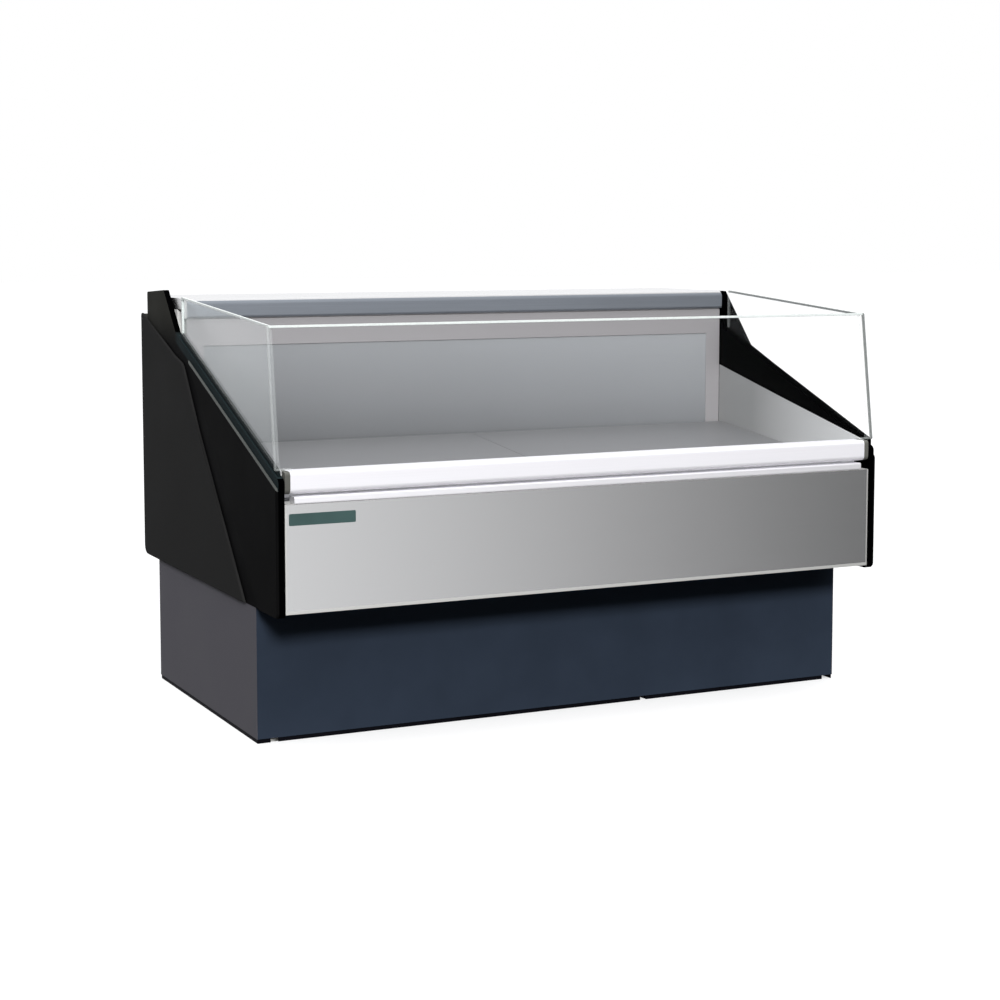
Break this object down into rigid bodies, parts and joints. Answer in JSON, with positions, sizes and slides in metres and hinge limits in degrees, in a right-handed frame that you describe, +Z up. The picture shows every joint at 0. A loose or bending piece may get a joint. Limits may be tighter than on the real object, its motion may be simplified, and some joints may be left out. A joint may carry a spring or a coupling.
{
  "type": "refrigerated deli case",
  "caption": "Open self-service refrigerated deli case with a low glass surround, stainless display well, rear worktop and a plain base with its condensing unit.",
  "frame": {"origin": "middle of the overall footprint, on the floor", "axes": "+X along the counter to the right as the customer sees it, -Y towards the customer, +Z up"},
  "size_m": [1.574, 1.026, 1.0028],
  "materials": {
    "end_panel_black": "satin black foamed panel",
    "end_cover_black": "satin black moulded cover",
    "stainless": "brushed stainless",
    "wall_stainless": "brushed stainless",
    "bright_rail": "bright anodised",
    "clear_glass": "clear, polished edges",
    "cap_grey": "moulded",
    "badge_green": "blank plate",
    "gasket_black": "matt",
    "zinc_steel": "zinc plated",
    "foam_wall": "foam core with pale skin",
    "base_charcoal": "powder coat",
    "base_navy": "powder coat",
    "toe_black": "black paint",
    "frame_grey": "grey paint",
    "pvc_white": "smooth",
    "copper_line": "drawn copper",
    "coil_aluminium": "finned",
    "fan_black": "moulded",
    "motor_black": "black enamel",
    "control_grey": "powder coat"
  },
  "bodies": {
    "cabinet": {"badge_plate": "badge_green", "base_frame": "frame_grey", "base_front_panel": "base_navy", "base_rear_grille": "control_grey", "base_side_panel_left": "base_charcoal", "base_side_panel_right": "base_charcoal", "compressor": "motor_black", "compressor_grommets": "gasket_black", "condenser_coil": "coil_aluminium", "condenser_fan_motor": "motor_black", "condenser_fan_shroud": "zinc_steel", "control_box": "control_grey", "cord_gland": "gasket_black", "deck_rails": "stainless", "drain_pipe": "pvc_white", "end_cover_front_left": "end_cover_black", "end_cover_front_right": "end_cover_black", "end_cover_rear_left": "end_cover_black", "end_cover_rear_right": "end_cover_black", "end_glass_left": "clear_glass", "end_glass_right": "clear_glass", "end_liner_left": "wall_stainless", "end_liner_right": "wall_stainless", "end_panel_left": "end_panel_black", "end_panel_right": "end_panel_black", "evaporator_coil": "coil_aluminium", "evaporator_fan_motors": "motor_black", "fan_plenum": "zinc_steel", "front_lip": "bright_rail", "front_panel": "stainless", "glass_corner_plate": "end_panel_black", "liquid_receiver": "motor_black", "panel_screws": "zinc_steel", "rear_service_panel": "stainless", "rear_wall_frame": "wall_stainless", "rear_wall_panel": "wall_stainless", "refrigerant_lines": "copper_line", "tank_floor": "foam_wall", "tank_front_wall": "foam_wall", "tank_rear_wall": "foam_wall", "toe_rails": "toe_black", "unit_tray": "zinc_steel", "worktop": "stainless"},
    "front_glass_assembly": {"glass_rail": "bright_rail", "rail_end_caps": "cap_grey", "front_glass": "clear_glass", "front_glass_gasket": "gasket_black", "glass_pivot_pins": "zinc_steel"},
    "deck_pan_left": {"deck_pan_left": "stainless"},
    "deck_pan_right": {"deck_pan_right": "stainless"},
    "return_air_grille": {"return_air_grille": "stainless"},
    "evaporator_fan_left": {"evaporator_fan_left": "fan_black"},
    "evaporator_fan_right": {"evaporator_fan_right": "fan_black"},
    "condenser_fan": {"condenser_fan": "coil_aluminium"},
    "rocker_switch": {"rocker_switch": "fan_black"},
    "thermostat_knob": {"thermostat_knob": "fan_black"},
    "levelling_foot_front_left": {"levelling_foot_front_left": "zinc_steel"},
    "levelling_foot_front_right": {"levelling_foot_front_right": "zinc_steel"},
    "levelling_foot_rear_left": {"levelling_foot_rear_left": "zinc_steel"},
    "levelling_foot_rear_right": {"levelling_foot_rear_right": "zinc_steel"}
  },
  "joints": [
    {"name": "front_glass_tilt", "type": "hinge", "parent": "cabinet", "child": "front_glass_assembly", "pos_m": [0, -0.5, 0.595], "axis": [1, 0, 0], "range_deg": [0, 40]},
    {"name": "deck_pan_left_lift", "type": "slide", "parent": "cabinet", "child": "deck_pan_left", "axis": [0, 0, 1], "range_m": [0, 0.28]},
    {"name": "deck_pan_right_lift", "type": "slide", "parent": "cabinet", "child": "deck_pan_right", "axis": [0, 0, 1], "range_m": [0, 0.28]},
    {"name": "return_air_grille_lift", "type": "slide", "parent": "cabinet", "child": "return_air_grille", "axis": [0, 0, 1], "range_m": [0, 0.28]},
    {"name": "evaporator_fan_left_spin", "type": "hinge", "parent": "cabinet", "child": "evaporator_fan_left", "pos_m": [-0.33, -0.193, 0.47], "axis": [0, 1, 0], "continuous": true},
    {"name": "evaporator_fan_right_spin", "type": "hinge", "parent": "cabinet", "child": "evaporator_fan_right", "pos_m": [0.33, -0.193, 0.47], "axis": [0, 1, 0], "continuous": true},
    {"name": "condenser_fan_spin", "type": "hinge", "parent": "cabinet", "child": "condenser_fan", "pos_m": [0.48, 0.264, 0.168], "axis": [0, 1, 0], "continuous": true},
    {"name": "rocker_switch_rock", "type": "hinge", "parent": "cabinet", "child": "rocker_switch", "pos_m": [0.545, 0.4895, 0.66], "axis": [1, 0, 0], "range_deg": [0, 10]},
    {"name": "thermostat_knob_turn", "type": "hinge", "parent": "cabinet", "child": "thermostat_knob", "pos_m": [0.64, 0.497, 0.66], "axis": [0, 1, 0], "range_deg": [0, 270]},
    {"name": "levelling_foot_front_left_turn", "type": "hinge", "parent": "cabinet", "child": "levelling_foot_front_left", "pos_m": [-0.738, -0.327, 0.02], "axis": [0, 0, 1], "continuous": true},
    {"name": "levelling_foot_front_right_turn", "type": "hinge", "parent": "cabinet", "child": "levelling_foot_front_right", "pos_m": [0.738, -0.327, 0.02], "axis": [0, 0, 1], "continuous": true},
    {"name": "levelling_foot_rear_left_turn", "type": "hinge", "parent": "cabinet", "child": "levelling_foot_rear_left", "pos_m": [-0.738, 0.38, 0.02], "axis": [0, 0, 1], "continuous": true},
    {"name": "levelling_foot_rear_right_turn", "type": "hinge", "parent": "cabinet", "child": "levelling_foot_rear_right", "pos_m": [0.738, 0.38, 0.02], "axis": [0, 0, 1], "continuous": true}
  ]
}
